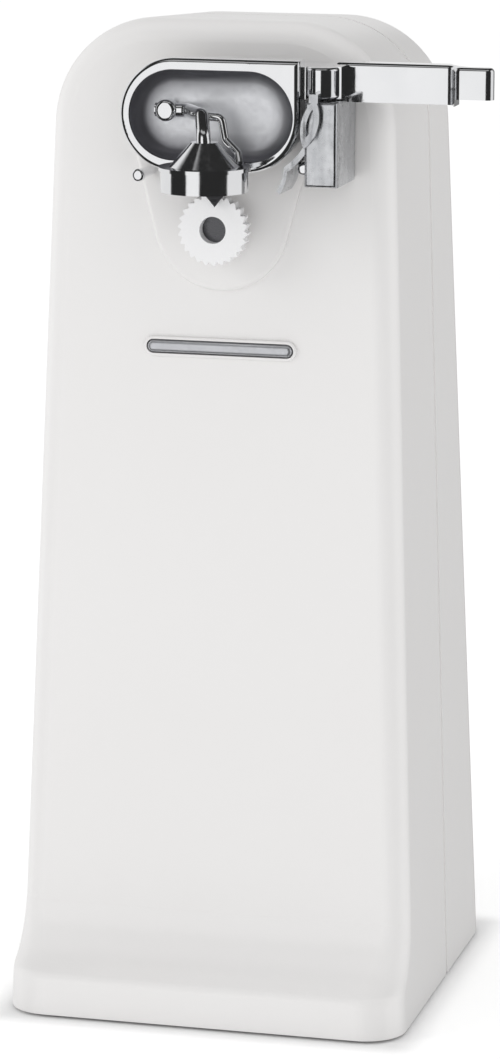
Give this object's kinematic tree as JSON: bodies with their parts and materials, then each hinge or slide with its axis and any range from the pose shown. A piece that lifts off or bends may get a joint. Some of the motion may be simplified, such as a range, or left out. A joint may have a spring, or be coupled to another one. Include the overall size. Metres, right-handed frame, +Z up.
{
  "type": "electric can opener",
  "caption": "Upright counter-top electric can opener: flared white tower, chrome lever with blade and lid magnet, toothed feed wheel and a geared motor inside.",
  "frame": {"origin": "middle of the foot ring's underside, on the table", "axes": "+Z up, -Y the front with the lever and feed wheel, +X the user's right"},
  "size_m": [0.1098, 0.1215, 0.226],
  "materials": {
    "white_plastic": "gloss",
    "dark_plastic": "matte",
    "foot_rubber": "matte",
    "chrome_plate": "mirror",
    "satin_chrome": "satin",
    "wheel_steel": "fine ground",
    "blade_steel": "ground",
    "plated_steel": "zinc plated",
    "ferrite": "matte",
    "gear_nylon": "satin",
    "bronze": "sintered",
    "lamination": "oiled",
    "copper_wire": "enamelled",
    "switch_plastic": "matte",
    "rotor_metal": "cast"
  },
  "bodies": {
    "housing": {"front_shell": "white_plastic", "rear_shell": "white_plastic", "base_plate": "dark_plastic", "foot_ring": "foot_rubber", "base_screws": "plated_steel", "shell_screws": "plated_steel", "cord_grommet": "dark_plastic", "bar_bezel": "white_plastic", "stability_bar": "chrome_plate", "guide_posts": "chrome_plate", "stop_block": "chrome_plate", "block_pad": "dark_plastic", "block_screws": "plated_steel", "can_guide": "chrome_plate", "lever_bush": "gear_nylon", "spring_washer": "plated_steel", "front_bush": "bronze", "rear_bush": "bronze", "second_axle": "plated_steel", "first_axle": "plated_steel", "gear_frame_front": "plated_steel", "gear_frame_rear": "plated_steel", "standoffs": "plated_steel", "frame_screws": "plated_steel", "stator": "lamination", "bobbin": "switch_plastic", "coil": "copper_wire", "motor_bearing_front": "bronze", "motor_bearing_rear": "bronze", "motor_bracket": "plated_steel", "motor_spacers": "plated_steel", "motor_screws": "plated_steel", "microswitch": "switch_plastic", "switch_screws": "plated_steel"},
    "lever": {"lever": "chrome_plate", "latch_loop": "chrome_plate", "lever_dish": "satin_chrome", "blade": "blade_steel", "blade_screw": "plated_steel", "lever_shaft": "plated_steel", "lever_clip": "plated_steel", "switch_cam": "switch_plastic", "magnet_post": "chrome_plate"},
    "magnet_holder": {"magnet_arm": "chrome_plate", "magnet_stay": "chrome_plate", "magnet_cup": "chrome_plate", "magnet": "ferrite"},
    "drive": {"drive_wheel": "wheel_steel", "drive_shaft": "blade_steel", "drive_clip": "plated_steel", "output_gear": "gear_nylon"},
    "second": {"second_gear": "gear_nylon"},
    "first": {"first_gear": "gear_nylon"},
    "rotor": {"rotor_shaft": "plated_steel", "rotor": "rotor_metal", "motor_pinion": "bronze", "cooling_fan": "dark_plastic"},
    "plunger": {"switch_plunger": "gear_nylon"}
  },
  "joints": [
    {"name": "lever_lift", "type": "hinge", "parent": "housing", "child": "lever", "pos_m": [-0.009, -0.034, 0.208], "axis": [0, -1, 0], "range_deg": [0, 55]},
    {"name": "magnet_swing", "type": "hinge", "parent": "lever", "child": "magnet_holder", "pos_m": [-0.007, -0.0478, 0.208], "axis": [-1, 0, 0], "range_deg": [0, 70]},
    {"name": "rotor_spin", "type": "hinge", "parent": "housing", "child": "rotor", "pos_m": [0, 0, 0.12385], "axis": [0, -1, 0], "continuous": true},
    {"name": "first_spin", "type": "hinge", "parent": "housing", "child": "first", "pos_m": [0.0028, -0.012, 0.14163], "axis": [0, -1, 0], "continuous": true},
    {"name": "second_spin", "type": "hinge", "parent": "housing", "child": "second", "pos_m": [-0.0112, -0.018, 0.15728], "axis": [0, -1, 0], "continuous": true},
    {"name": "drive_spin", "type": "hinge", "parent": "housing", "child": "drive", "pos_m": [0.0008, -0.03, 0.1808], "axis": [0, -1, 0], "continuous": true},
    {"name": "switch_press", "type": "slide", "parent": "housing", "child": "plunger", "axis": [1, 0, 0], "range_m": [0, 0.0008], "stiffness_N_per_m": 300, "springref_m": -0.0008}
  ],
  "couplings": [
    {"joint": "first_spin", "follows": "rotor_spin", "ratio": -0.2},
    {"joint": "second_spin", "follows": "rotor_spin", "ratio": 0.05},
    {"joint": "drive_spin", "follows": "rotor_spin", "ratio": -0.011111}
  ]
}
